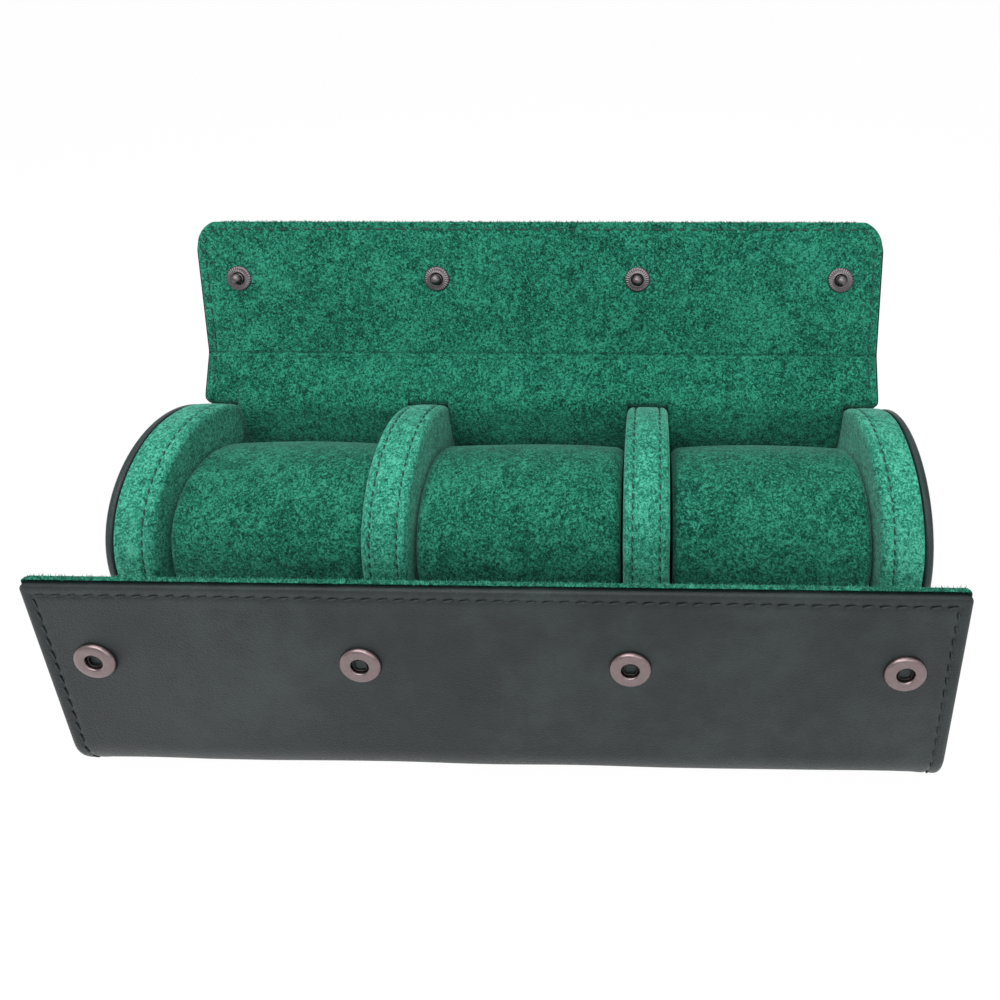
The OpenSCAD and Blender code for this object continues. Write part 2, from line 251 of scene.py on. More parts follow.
def sheet_grid(s0, s1, free_end, half, corner, creased):
    """Points (s, x) and their distance to the flap's outline; corners are rounded at a free end."""
    deep = EDGE_ROWS[-1]
    xs = [-half + d for d in EDGE_ROWS]
    xs += spread(-half + deep, half - deep, GRID_X)[1:-1]
    xs += [half - d for d in EDGE_ROWS[::-1]]
    if free_end:
        rows = spread(s0, s1 - deep, GRID_S)[:-1] + [s1 - d for d in EDGE_ROWS[::-1]]
    else:
        rows = spread(s0, s1, GRID_S)
    if creased:
        rows = [s for s in rows if abs(s - S_CREASE) > -CREASE_ROWS[0]]
        rows = sorted(rows + [S_CREASE + d for d in CREASE_ROWS])
    X, S = np.meshgrid(np.array(xs), np.array(rows))
    dist = half - np.abs(X)
    if free_end:
        dist = np.minimum(dist, s1 - S)
        a = np.clip((np.abs(X) - (half - corner)) / corner, 0, 1)
        b = np.clip((S - (s1 - corner)) / corner, 0, 1)
        inside = (a > 0) & (b > 0)
        a2 = a * np.sqrt(1 - b * b / 2)
        b2 = b * np.sqrt(1 - a * a / 2)
        X = np.where(inside, np.sign(X) * (half - corner + corner * a2), X)
        S = np.where(inside, s1 - corner + corner * b2, S)
        dist = np.where(inside, corner * (1 - np.hypot(a2, b2)), dist)
    return S, X, np.maximum(dist, 0)


def bell(x, middle, width):
    return np.exp(-((x - middle) / width) ** 2)


def rounded(dist, r):
    """How far a round edge of radius r drops at a distance from the edge."""
    return np.where(dist < r, r - np.sqrt(np.maximum(r * r - (r - dist) ** 2, 0)), 0)


def leather_out(dist, S, X, side):
    """Outward offset of the leather's outer face: rounded turned edge, its ridge, the stitch groove."""
    top = WRAP_T + 0.06 - rounded(dist, 0.75)
    ridge = 0.16 * bell(dist, 1.35, 0.75)
    groove = -0.22 * bell(dist, STITCH_IN, 0.36)
    puff = 0.10 * bell(dist, 4.6, 0.9)
    wave = 0.16 * value_noise(X, S, 46, 3 + side) * np.clip(dist / 8, 0, 1)
    return top + ridge + groove + puff + np.minimum(wave, 0.1)


def suede_out(dist, S, X, side):
    """Outward offset of the suede's face: a soft lip at the edge and the stitch groove."""
    lip = rounded(dist, 0.95)
    groove = 0.2 * bell(dist, STITCH_IN, 0.42)
    wave = 0.10 * value_noise(X, S, 30, 11 + side) * np.clip(dist / 6, 0, 1)
    return lip + groove + np.maximum(wave, -0.1)


def flap_piece(name, line, s0, s1, free_end, corner, layer, side):
    """One stretch of the wrap: the suede or the leather side with its edges, as one mesh.
    side is 0 on the front line and 1 on the rear line."""
    half = HALF_W - (0.35 if layer == "suede" else 0.0)
    past = EDGE_PAST[layer] if free_end else 0.0
    creased = side == 1 and layer == "suede" and s0 < S_CREASE < s1
    S, X, D = sheet_grid(s0, s1 + past, free_end, half, corner, creased)
    out = suede_out(D, S, X, side) if layer == "suede" else leather_out(D, S, X, side)
    if side == 1 and layer == "suede":
        # the pressed crease, with a slight ridge below it
        out = out + 0.6 * bell(S, S_CREASE, 0.38) - 0.3 * bell(S, S_CREASE - 1.05, 0.55)
    y, z = on_line(line, S, out)
    face = np.stack([X, y, z], -1).reshape(-1, 3)
    rows, cols = S.shape
    back = np.full_like(S, 1.45 if layer == "suede" else 0.75)
    y2, z2 = on_line(line, S, back)
    other = np.stack([X, y2, z2], -1).reshape(-1, 3)
    # the outline's points, left side up, along the free end, right side down
    left = [i * cols for i in range(rows)]
    right = [i * cols + cols - 1 for i in range(rows)]
    path = left + ([(rows - 1) * cols + c for c in range(1, cols - 1)] if free_end else [])
    path = path + right[::-1] if free_end else path
    n = rows * cols
    verts = np.vstack([face, other])
    faces = list(grid_faces(rows, cols, flip=(layer == "suede")))
    strips = [path] if free_end else [left, right[::-1]]
    for strip in strips:
        for a, b in zip(strip, strip[1:]):
            q = [a, b, b + n, a + n]
            faces.append(q if layer == "leather" else q[::-1])
    used = np.zeros(2 * n, bool)
    for f in faces:
        used[f] = True
    index = np.cumsum(used) - 1
    verts = verts[used] * MM
    faces = [[int(index[i]) for i in f] for f in faces]
    return new_mesh(name, verts, faces)


# ---------------------------------------------------------------- materials
def node_material(name):
    m = bpy.data.materials.new(name)
    m.use_nodes = True
    nt = m.node_tree
    nt.nodes.clear()
    out = nt.nodes.new("ShaderNodeOutputMaterial")
    b = nt.nodes.new("ShaderNodeBsdfPrincipled")
    nt.links.new(b.outputs[0], out.inputs[0])
    return m, nt, b


def srgb(r, g, b):
    """Linear colour of an sRGB colour given from 0 to 255."""
    linear = [((c / 255 + 0.055) / 1.055) ** 2.4 if c > 10 else c / 255 / 12.92 for c in (r, g, b)]
    return tuple(linear) + (1,)


def add(nt, kind, **inputs):
    n = nt.nodes.new(kind)
    for k, v in inputs.items():
        n.inputs[k.replace("_", " ")].default_value = v
    return n


def noise(nt, coord, scale, detail=3.0, rough=0.5, distortion=0.0):
    n = add(nt, "ShaderNodeTexNoise", Scale=scale, Detail=detail, Roughness=rough, Distortion=distortion)
    nt.links.new(coord, n.inputs["Vector"])
    return n


def ramp(nt, fac, stops):
    n = nt.nodes.new("ShaderNodeValToRGB")
    e = n.color_ramp.elements
    while len(e) < len(stops):
        e.new(0.5)
    for el, (p, c) in zip(e, stops):
        el.position = p
        el.color = c
    nt.links.new(fac, n.inputs["Fac"])
    return n


def feed(nt, socket, v):
    """Links a socket to another one, or sets its value."""
    if isinstance(v, bpy.types.NodeSocket):
        nt.links.new(v, socket)
    else:
        socket.default_value = v


def mix(nt, fac, a, b):
    n = nt.nodes.new("ShaderNodeMix")
    n.data_type = "RGBA"
    for socket, v in ((n.inputs[0], fac), (n.inputs[6], a), (n.inputs[7], b)):
        feed(nt, socket, v)
    return n.outputs[2]


def grey(v):
    return (v, v, v, 1)


def math_node(nt, op, a, b):
    n = nt.nodes.new("ShaderNodeMath")
    n.operation = op
    feed(nt, n.inputs[0], a)
    feed(nt, n.inputs[1], b)
    return n.outputs[0]


def weighed(nt, parts):
    """Sum of node values times their weights."""
    total = None
    for value, weight in parts:
        part = math_node(nt, "MULTIPLY", value.outputs[0], weight)
        total = part if total is None else math_node(nt, "ADD", total, part)
    return total


def bump(nt, height, strength, distance, normal=None):
    n = add(nt, "ShaderNodeBump", Strength=strength, Distance=distance)
    nt.links.new(height, n.inputs["Height"])
    if normal is not None:
        nt.links.new(normal, n.inputs["Normal"])
    return n.outputs["Normal"]


def suede_material(name, dark, mid, light, sheen):
    """Napped suede: short tangled fibres, brushed patches that lie lighter or darker, soft sheen."""
    m, nt, b = node_material(name)
    co = nt.nodes.new("ShaderNodeTexCoord").outputs["Object"]
    fibres = noise(nt, co, 1500, 3, 0.6, 0.8)
    worm = noise(nt, co, 760, 2.5, 0.6, 2.0)
    tuft = noise(nt, co, 210, 3, 0.6, 1.6)
    patch = noise(nt, co, 48, 3, 0.55, 1.0)
    f = weighed(nt, ((fibres, 0.36), (worm, 0.40), (tuft, 0.16), (patch, 0.08)))
    c = ramp(nt, f, [(0.415, dark), (0.495, mid), (0.575, light)])
    nt.links.new(c.outputs[0], b.inputs["Base Color"])
    b.inputs["Roughness"].default_value = 0.95
    b.inputs["Specular IOR Level"].default_value = 0.1
    b.inputs["Sheen Weight"].default_value = sheen
    b.inputs["Sheen Roughness"].default_value = 0.45
    b.inputs["Sheen Tint"].default_value = (0.45, 0.9, 0.8, 1)
    n1 = bump(nt, tuft.outputs[0], 0.35, 0.0006)
    n2 = bump(nt, worm.outputs[0], 0.55, 0.0004, n1)
    n3 = bump(nt, fibres.outputs[0], 0.5, 0.0002, n2)
    nt.links.new(n3, b.inputs["Normal"])
    return m


def leather_material(name, dark, mid, light, rough):
    """Smooth leather: fine pebble grain with pores, slight cloudiness and a soft sheen."""
    m, nt, b = node_material(name)
    co = nt.nodes.new("ShaderNodeTexCoord").outputs["Object"]
    warp = noise(nt, co, 260, 2, 0.5)
    off = nt.nodes.new("ShaderNodeVectorMath")
    off.operation = "MULTIPLY_ADD"
    nt.links.new(warp.outputs["Color"], off.inputs[0])
    off.inputs[1].default_value = (0.0007, 0.0007, 0.0007)
    nt.links.new(co, off.inputs[2])
    cells = nt.nodes.new("ShaderNodeTexVoronoi")
    cells.feature = "DISTANCE_TO_EDGE"
    cells.inputs["Scale"].default_value = 1150
    nt.links.new(off.outputs[0], cells.inputs["Vector"])
    groove = ramp(nt, cells.outputs["Distance"], [(0.0, grey(0)), (0.16, grey(0.75)), (0.5, grey(1))])
    fine = noise(nt, co, 2400, 2, 0.5)
    cloud = noise(nt, co, 24, 3, 0.5, 0.5)
    patch = noise(nt, co, 160, 3, 0.6)
    f = weighed(nt, ((cloud, 0.6), (patch, 0.4)))
    c = ramp(nt, f, [(0.36, dark), (0.5, mid), (0.64, light)])
    pore = math_node(nt, "MULTIPLY", math_node(nt, "SUBTRACT", 1.0, groove.outputs[0]), 0.45)
    col = mix(nt, pore, c.outputs[0], dark)
    nt.links.new(col, b.inputs["Base Color"])
    r = math_node(nt, "ADD", math_node(nt, "MULTIPLY", patch.outputs[0], 0.14), rough - 0.07)
    nt.links.new(r, b.inputs["Roughness"])
    b.inputs["Specular IOR Level"].default_value = 0.26
    n1 = bump(nt, groove.outputs[0], 0.4, 0.00014)
    n2 = bump(nt, fine.outputs[0], 0.10, 0.00005, n1)
    n3 = bump(nt, cloud.outputs[0], 0.18, 0.0015, n2)
    nt.links.new(n3, b.inputs["Normal"])
    return m


def metal_material(name, tone, rough):
    """Dark plated metal with a faint unevenness."""
    m, nt, b = node_material(name)
    co = nt.nodes.new("ShaderNodeTexCoord").outputs["Object"]
    n = noise(nt, co, 900, 3, 0.6)
    c = ramp(nt, n.outputs[0], [(0.3, tuple(x * 0.82 for x in tone[:3]) + (1,)), (0.7, tone)])
    nt.links.new(c.outputs[0], b.inputs["Base Color"])
    b.inputs["Metallic"].default_value = 1.0
    r = math_node(nt, "ADD", math_node(nt, "MULTIPLY", n.outputs[0], 0.12), rough - 0.06)
    nt.links.new(r, b.inputs["Roughness"])
    nt.links.new(bump(nt, n.outputs[0], 0.08, 0.0001), b.inputs["Normal"])
    return m


def thread_material(name, dark, light):
    """Twisted thread."""
    m, nt, b = node_material(name)
    co = nt.nodes.new("ShaderNodeTexCoord").outputs["Object"]
    n = noise(nt, co, 1800, 2, 0.5)
    c = ramp(nt, n.outputs[0], [(0.35, dark), (0.65, light)])
    nt.links.new(c.outputs[0], b.inputs["Base Color"])
    b.inputs["Roughness"].default_value = 0.75
    nt.links.new(bump(nt, n.outputs[0], 0.5, 0.0002), b.inputs["Normal"])
    return m


suede = suede_material("suede", srgb(4, 40, 31), srgb(17, 84, 66), srgb(44, 130, 104), 0.16)
suede_rim = suede_material("suede_rim", srgb(16, 74, 59), srgb(38, 119, 97), srgb(74, 162, 136), 0.26)
suede_pillow = suede_material("suede_pillow", srgb(5, 42, 33), srgb(17, 82, 64), srgb(46, 126, 102), 0.16)
leather = leather_material("leather", srgb(10, 17, 18), srgb(19, 27, 28), srgb(33, 42, 42), 0.46)
leather_disc = leather_material("leather_disc", srgb(12, 26, 26), srgb(22, 40, 39), srgb(38, 58, 56), 0.36)
socket_metal = metal_material("socket_metal", srgb(118, 104, 105), 0.3)
stud_metal = metal_material("stud_metal", srgb(92, 86, 88), 0.34)
dark_metal = metal_material("dark_metal", srgb(42, 38, 38), 0.4)
thread_dark = thread_material("thread_dark", srgb(4, 12, 12), srgb(14, 28, 26))
thread_green = thread_material("thread_green", srgb(3, 34, 27), srgb(9, 54, 42))


def finish_piece(ob, mat, body=None, nodes=()):
    """Gives a piece its material, slot and body, and the nodes that it stands for."""
    ob.data.materials.clear()
    ob.data.materials.append(mat)
    if nodes:
        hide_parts(*nodes)
    if body:
        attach(ob, body)
    return ob


# ---------------------------------------------------------------- the wrap
# where the wrap's pieces end and where they bend, along the two lines
S1, S2 = BASE_FWD, BASE_FWD + GROUND_L
S_MID_BEND = S_BEND + (S_RISE - S_BEND) / 2
S3, S4 = S_RISE + RISE_L, S_RISE + 2 * RISE_L
front_cuts = [4.0, S1 + GROUND_L / 2, S2 + GROUND_L / 2,
              S_RISE + RISE_L * 0.55, S3 + RISE_L / 2, S_FRONT_END]
front_folds = [(S1 - 2.5, S1 + 2.5), (S2 - 2.5, S2 + 2.5), (S_MID_BEND - 7, S_MID_BEND + 7),
               (S3 - 3.5, S3 + 3.5), (S4 - 3.5, S4 + 3.5)]
front_bodies = ["case", "front_1", "front_2", "front_3", "front_4", "front_5"]
rear_cuts = [S_ARC - 10, S_CREASE - LOWER_L + LOWER_L * 0.62,
             S_CREASE + UPPER_L / 2, S_CREASE + UPPER_L * 1.5, S_REAR_END]
rear_folds = [(S_ARC, S_JOIN), (S_CREASE - 2.0, S_CREASE + 2.0),
              (S_CREASE + UPPER_L - 3, S_CREASE + UPPER_L + 3),
              (S_CREASE + 2 * UPPER_L - 3, S_CREASE + 2 * UPPER_L + 3)]
rear_bodies = ["case", "rear_1", "rear_2", "rear_3", "rear_4"]


def flap(word, line, cuts, folds, corner, layer, mat, side):
    """The flap's pieces, one for each fold, each running from one cut to the next."""
    for i, (a, b) in enumerate(folds):
        ob = flap_piece(f"{word}_{layer}_skin_{i + 1}", line, cuts[i], cuts[i + 1],
                        i == len(folds) - 1, corner, layer, side)
        gone = [f"{word}_{layer}_{i + 1}"]
        if layer == "leather":
            gone.append(f"{word}_foam_{i + 1}")
        finish_piece(ob, mat, None, gone)
        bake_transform(ob)


for layer, mat in (("suede", suede), ("leather", leather)):
    flap("front", front_line, front_cuts, front_folds, FRONT_CORNER_R, layer, mat, 0)
    flap("rear", rear_line, rear_cuts, rear_folds, CORNER_R, layer, mat, 1)
    # the base: under the roll and up behind it
    under = flap_piece(f"base_{layer}_front", front_line, 0.0, front_cuts[0], False, 0.0, layer, 0)
    round_back = flap_piece(f"base_{layer}_round", rear_line, 0.0, rear_cuts[0], False, 0.0, layer, 1)
    finish_piece(under, mat, "case")
    gone = [f"base_{layer}"] + (["base_foam"] if layer == "leather" else [])
    finish_piece(round_back, mat, "case", gone)


# ---------------------------------------------------------------- stitches
def stitch_mesh(name, items, mat, body, length, width, height):
    """Stitches as small flattened capsules. items are (centre, along, up) in mm."""
    rings, seg = 5, 8
    u = np.linspace(-1, 1, rings)
    prof = np.sqrt(np.maximum(1 - np.abs(u) ** 3.2, 0.0)) * 0.92 + 0.08
    verts, faces = [], []
    for centre, along, up in items:
        along = along / np.linalg.norm(along)
        up = up - along * np.dot(up, along)
        up /= np.linalg.norm(up)
        side = np.cross(up, along)
        base = len(verts)
        for ui, pi in zip(u, prof):
            for k in range(seg):
                a = 2 * math.pi * k / seg
                verts.append(centre + along * ui * length / 2
                             + side * math.cos(a) * width / 2 * pi
                             + up * math.sin(a) * height / 2 * pi)
        for r in range(rings - 1):
            for k in range(seg):
                k2 = (k + 1) % seg
                faces.append([base + r * seg + k, base + r * seg + k2,
                              base + (r + 1) * seg + k2, base + (r + 1) * seg + k])
        faces.append([base + k for k in range(seg)][::-1])
        faces.append([base + (rings - 1) * seg + k for k in range(seg)])
    ob = new_mesh(name, np.array(verts) * MM, faces)
    return finish_piece(ob, mat, body)


def outline_path(s_from, s_end, half, corner, inset, pitch):
    """Points (s, x) along the stitch line: up one side, across the free end, down the other."""
    r = max(corner - inset, 0.3)
    top = s_end - inset
    w = half - inset
    quarter = [math.radians(i * 90 / 12) for i in range(1, 13)]
    pts = [(s_from, -w), (top - r, -w)]
    pts += [(top - r + r * math.sin(a), -w + r - r * math.cos(a)) for a in quarter]
    pts.append((top, w - r))
    pts += [(top - r + r * math.cos(a), w - r + r * math.sin(a)) for a in quarter]
    pts.append((s_from, w))
    p = np.array(pts)
    d = np.concatenate([[0], np.cumsum(np.hypot(*np.diff(p, axis=0).T))])
    n = int(d[-1] // pitch)
    at = (np.arange(n) + 0.5) * d[-1] / n
    q = np.column_stack([np.interp(at, d, p[:, 0]), np.interp(at, d, p[:, 1])])
    q2 = np.column_stack([np.interp(at + 0.3, d, p[:, 0]), np.interp(at + 0.3, d, p[:, 1])])
    return q, q2 - q


def flap_stitches(word, line, s_from, s_end, corner, bodies, cuts):
    """The flap's edge stitches on both layers, each stitch on the body that carries it."""
    for layer, out, slant, mat in (("leather", WRAP_T + 0.10, 0.2, thread_dark),
                                   ("suede", 0.10, 0.0, thread_green)):
        q, dq = outline_path(s_from, s_end + EDGE_PAST[layer], HALF_W, corner, STITCH_IN, STITCH_PITCH)
        groups = {}
        for (s, x), (ds, dx) in zip(q, dq):
            k = int(np.searchsorted(cuts, s))
            body = bodies[min(k, len(bodies) - 1)]
            c = np.array([x, *on_line(line, s, out)])
            along = np.array([x + dx, *on_line(line, s + ds, out)]) - c
            up = np.array([x, *on_line(line, s, out + 1.0)]) - c
            along = along / np.linalg.norm(along)
            along = along + np.cross(up, along) * slant
            groups.setdefault(body, []).append((c, along, up if layer == "leather" else -up))
        for body, items in groups.items():
            stitch_mesh(f"{word}_{layer}_stitches_{body}", items, mat, body, STITCH_L, 0.6, 0.46)


flap_stitches("front", front_line, S1 + 4, S_FRONT_END, FRONT_CORNER_R, front_bodies,
              [S1, S2, S_MID_BEND, S3, S4])
flap_stitches("rear", rear_line, S_JOIN + 1.5, S_REAR_END, CORNER_R, rear_bodies[1:],
              [S_CREASE, S_CREASE + UPPER_L, S_CREASE + 2 * UPPER_L])


# ---------------------------------------------------------------- nap along the edges
def nap_fringe(name, roots, outs, mat, body, length, width=0.13):
    """Short fibres as closed three-sided spikes, leaning at random. roots and outs in mm."""
    r = np.random.default_rng(len(roots))
    n = len(roots)
    outs = outs / np.linalg.norm(outs, axis=1)[:, None]
    lean = r.normal(0, 0.55, (n, 3))
    tip = roots + (outs + lean) * (length * r.uniform(0.5, 1.2, n))[:, None]
    axis = tip - roots
    a = np.cross(axis, r.normal(0, 1, (n, 3)))
    a /= np.linalg.norm(a, axis=1)[:, None]
    b = np.cross(axis, a)
    b /= np.linalg.norm(b, axis=1)[:, None]
    ring = [roots - outs * 0.15 + width * (math.cos(k) * a + math.sin(k) * b)
            for k in (0, 2.094, 4.189)]
    verts = np.stack(ring + [tip], 1).reshape(-1, 3)
    base = np.arange(n)[:, None, None] * 4
    faces = (base + np.array([[0, 1, 3], [1, 2, 3], [2, 0, 3], [2, 1, 0]])).reshape(-1, 3)
    return finish_piece(new_mesh(name, verts * MM, faces, False), mat, body)


def edge_roots(line, s, xs, outs):
    """Points on a flap's free edge, over the suede's thickness, with their outward direction."""
    y, z = on_line(line, np.full(len(xs), s), outs)
    y1, z1 = on_line(line, np.full(len(xs), s - 1.0), outs)
    d = np.column_stack([np.zeros(len(xs)), y - y1, z - z1])
    return np.column_stack([xs, y, z]), d


FIBRES = 5200
ROOT_PAST = EDGE_PAST["suede"] - 0.1      # the fibres start just inside the suede's edge
fx = rng.uniform(-HALF_W + 1.2, HALF_W - 1.2, FIBRES)
roots, outs = edge_roots(front_line, S_FRONT_END + ROOT_PAST, fx, rng.uniform(0.35, 1.25, FIBRES))
nap_fringe("front_edge_nap", roots, outs, suede_rim, "front_5", 0.55)
fx = rng.uniform(-HALF_W + CORNER_R, HALF_W - CORNER_R, FIBRES // 2)
roots, outs = edge_roots(rear_line, S_REAR_END + ROOT_PAST, fx, rng.uniform(0.35, 1.2, FIBRES // 2))
nap_fringe("rear_edge_nap", roots, outs, suede, "rear_4", 0.4)


# ---------------------------------------------------------------- turned pieces
def around(section, segments):
    """A section's two columns and the turning angle, each as a grid of section points by angles."""
    p = np.array(section, float)
    angles = np.arange(segments) * 2 * math.pi / segments
    return (np.repeat(p[:, 0][:, None], segments, 1), np.repeat(p[:, 1][:, None], segments, 1),
            np.repeat(angles[None, :], len(p), 0))


def capped_faces(rows, segments):
    """Faces of a turned body, closed at both ends of its section."""
    faces = list(grid_faces(rows, segments, wrap_cols=True))
    faces.append(list(range(segments)))
    faces.append([(rows - 1) * segments + k for k in range(segments)][::-1])
    return faces


def turned(name, section, ripple=None):
    """Turns a closed section [(x along the roll, radius)] round the roll's centre line."""
    X, R, T = around(section, TURN_STEPS)
    if ripple is not None:
        X, R = ripple(X, R, T)
    verts = np.stack([X, R * np.cos(T), CENTRE_Z + R * np.sin(T)], -1).reshape(-1, 3) * MM
    return new_mesh(name, verts, capped_faces(len(section), TURN_STEPS))


def disc_section(x0, x1, r, round0, round1, grooves, crown, dome):
    """Section of a padded disc from its face at x0 over the rim to its face at x1."""
    face = [k / 9 for k in range(9)]
    bend = [math.radians(9 * k) for k in range(11)]
    width = x1 - x0 - round0 - round1
    pts = [[x0 - dome * math.cos(k * math.pi / 2), 0.05 + (r - round0) * k] for k in face]
    pts += [[x0 + round0 - round0 * math.cos(a), r - round0 + round0 * math.sin(a)] for a in bend]
    pts += [[x0 + round0 + width * k / 36, r] for k in range(1, 36)]
    pts += [[x1 - round1 + round1 * math.cos(a), r - round1 + round1 * math.sin(a)] for a in bend[::-1]]
    pts += [[x1 + dome * math.cos(k * math.pi / 2), 0.05 + (r - round1) * k] for k in face[::-1]]
    p = np.array(pts)
    mid, half = (x0 + x1) / 2, (x1 - x0) / 2
    on_rim = p[:, 1] > r - np.where(p[:, 0] < mid, round0, round1) * 0.6
    lift = crown * (1 - ((p[:, 0] - mid) / half) ** 2)
    for g in grooves:
        lift = lift - 0.6 * bell(p[:, 0], g, 0.5)
    p[:, 1] = np.where(on_rim, p[:, 1] + lift, p[:, 1])
    return p


def leather_disc_section(side, r):
    """Section of an end disc: flat inner face, soft rim, stitch groove, slightly domed outer face."""
    d0, d1 = side * (DISC_X - 0.1), side * (DISC_X + DISC_T)
    inner_r, outer_r = 0.7, 1.1
    pts = [[d0, 0.05 + (r - inner_r) * k / 6] for k in range(7)]
    for k in range(7):
        a = math.radians(15 * k)
        pts.append([d0 + side * (inner_r - inner_r * math.cos(a)), r - inner_r + inner_r * math.sin(a)])
    for k in range(11):
        a = math.radians(9 * k)
        pts.append([d1 - side * (outer_r - outer_r * math.sin(a)), r - outer_r + outer_r * math.cos(a)])
    # radius and depth below the outer face
    face = [(r - 1.9, 0.0), (r - 2.5, 0.0), (r - 3.0, 0.16), (r - DISC_STITCH_IN, 0.28),
            (r - 3.8, 0.16), (r - 4.3, 0.0), (r - 6, -0.1), (r - 12, -0.25), (r - 20, -0.3), (0.05, -0.3)]
    return pts + [[d1 - side * (depth + 0.02), radius] for radius, depth in face]


def soft_ripple(seed, amount):
    """Small unevenness of a padded disc, none near its middle."""
    def go(X, R, T):
        near = np.clip((R - 20) / 12, 0, 1)
        r = np.random.default_rng(seed)
        v = np.zeros_like(R)
        for k in range(3, 17):
            v += np.sin(k * T + r.uniform(0, 6.28) + X * r.uniform(-0.3, 0.3)) / (0.6 * k)
        return X + 0.25 * amount * v * near, R + amount * v * near * 0.6
    return go


def ring_places(r, pitch):
    """Radial and tangential directions of the stitches in a ring."""
    n = int(2 * math.pi * r / pitch)
    for k in range(n):
        a = 2 * math.pi * (k + 0.5) / n
        yield np.array([0, math.cos(a), math.sin(a)]), np.array([0, -math.sin(a), math.cos(a)])


def rim_stitches(name, x, r):
    """A ring of slightly slanted stitches on a padded disc's rim."""
    items = [(np.array([x, 0, CENTRE_Z]) + up * r, along + np.array([0.16, 0, 0]), up)
             for up, along in ring_places(r, 2.9)]
    stitch_mesh(name, items, thread_green, "case", 2.0, 0.5, 0.4)


def disc_stitches(name, side, r):
    """A ring of stitches on an end disc's outer face."""
    at = np.array([side * (DISC_X + DISC_T) - side * 0.2, 0, CENTRE_Z])
    out = np.array([side, 0, 0])
    items = [(at + radial * r, along, out) for radial, along in ring_places(r, STITCH_PITCH)]
    stitch_mesh(name, items, thread_dark, "case", STITCH_L, 0.55, 0.42)


for side, word in ((-1, "left"), (1, "right")):
    inner, outer = side * (DISC_X - CAP_T), side * (DISC_X - 0.25)
    groove = inner + side * CAP_GROOVE_IN
    # the outer edge under the leather disc is less round than the soft inner edge
    rounds = (0.7, 2.0) if side < 0 else (2.0, 0.7)
    sec = disc_section(min(inner, outer), max(inner, outer), RIM - 0.3, *rounds, [groove], 0.3, 0.0)
    cap = turned(f"{word}_cap_padding", sec, soft_ripple(5 + side, 0.22))
    finish_piece(cap, suede_rim, "case", [f"{word}_cap_suede", f"{word}_cap_core"])
    rim_stitches(f"{word}_cap_stitches", groove, RIM - 0.45)

    disc_r = RIM - 0.25
    disc = turned(f"{word}_leather_disc", leather_disc_section(side, disc_r))
    finish_piece(disc, leather_disc, "case", [f"{word}_end_disc"])
    disc_stitches(f"{word}_disc_stitches", side, disc_r - DISC_STITCH_IN)

    middle, to_groove = side * DIV_X, DIV_T / 2 - DIV_GROOVE_IN
    sec = disc_section(middle - DIV_T / 2, middle + DIV_T / 2, RIM - 0.35, 2.0, 2.0,
                       [middle - to_groove, middle + to_groove], 0.35, 0.35)
    div = turned(f"{word}_divider_padding", sec, soft_ripple(20 + side, 0.25))
    finish_piece(div, suede_rim, "case", [f"{word}_divider_suede", f"{word}_divider_core"])
    for name, at in (("near", middle - to_groove), ("far", middle + to_groove)):
        rim_stitches(f"{word}_divider_stitches_{name}", at, RIM - 0.5)


# ---------------------------------------------------------------- pillows
PILLOW_STEPS = 160


def pillow_section(half):
    """Section of a pillow along its axis: ends drawn in, round edges, crowned middle."""
    body_r, edge_r = PILLOW_R - 1.3, 2.8
    pts = [[-half + 0.5 - 0.5 * (k / 7) ** 2, 0.05 + (body_r - edge_r) * k / 7] for k in range(7)]
    for k in range(13):
        a = math.radians(90 * k / 12)
        pts.append([-half + edge_r - edge_r * math.cos(a), body_r - edge_r + edge_r * math.sin(a)])
    end = np.array(pts)
    run = [[(-1 + 2 * k / 22) * (half - edge_r), body_r] for k in range(1, 22)]
    p = np.vstack([end, run, end[::-1] * [-1, 1]])
    crown = 1.2 * (1 - (p[:, 0] / half) ** 2) * np.clip((p[:, 1] - PILLOW_R + 9) / 7.7, 0, 1)
    p[:, 1] = np.where(p[:, 1] > PILLOW_R - 9, p[:, 1] + crown, p[:, 1])
    return p


def pillow(name, x, length, seed):
    """A stuffed roll: crowned, its ends drawn in, with soft dents. It is oval and leans forward."""
    p = pillow_section(length / 2)
    X, R, T = around(p, PILLOW_STEPS)
    r = np.random.default_rng(seed)
    v = np.zeros_like(R)
    for k in range(2, 12):
        v += np.sin(k * T + r.uniform(0, 6.28) + X * r.uniform(-0.12, 0.12)) / k
    R = R + 0.3 * v * np.clip((R - 8) / 15, 0, 1) - 0.2
    across, up = -PILLOW_SHARE * R * np.sin(T), R * np.cos(T)
    c, s = math.cos(PILLOW_LEAN), math.sin(PILLOW_LEAN)
    Y = PILLOW_Y + across * c - up * s
    Z = PILLOW_Z + across * s + up * c
    verts = np.stack([X + x, Y, Z], -1).reshape(-1, 3) * MM
    return new_mesh(name, verts, capped_faces(len(p), PILLOW_STEPS))


BAY_OUTER = DISC_X - CAP_T
BAY_SPLIT = DIV_X + DIV_T / 2
BAY_INNER = DIV_X - DIV_T / 2
SIDE_X = (BAY_OUTER + BAY_SPLIT) / 2
SIDE_L = BAY_OUTER - BAY_SPLIT - 2 * PILLOW_GAP
MID_L = 2 * (BAY_INNER - PILLOW_GAP)
for word, x, length, seed in (("left", -SIDE_X, SIDE_L, 31), ("middle", 0.0, MID_L, 32),
                              ("right", SIDE_X, SIDE_L, 33)):
    ob = pillow(f"pillow_{word}_cushion", x, length, seed)
    finish_piece(ob, suede_pillow, f"pillow_{word}",
                 [f"pillow_cover_{word}", f"pillow_core_{word}"])


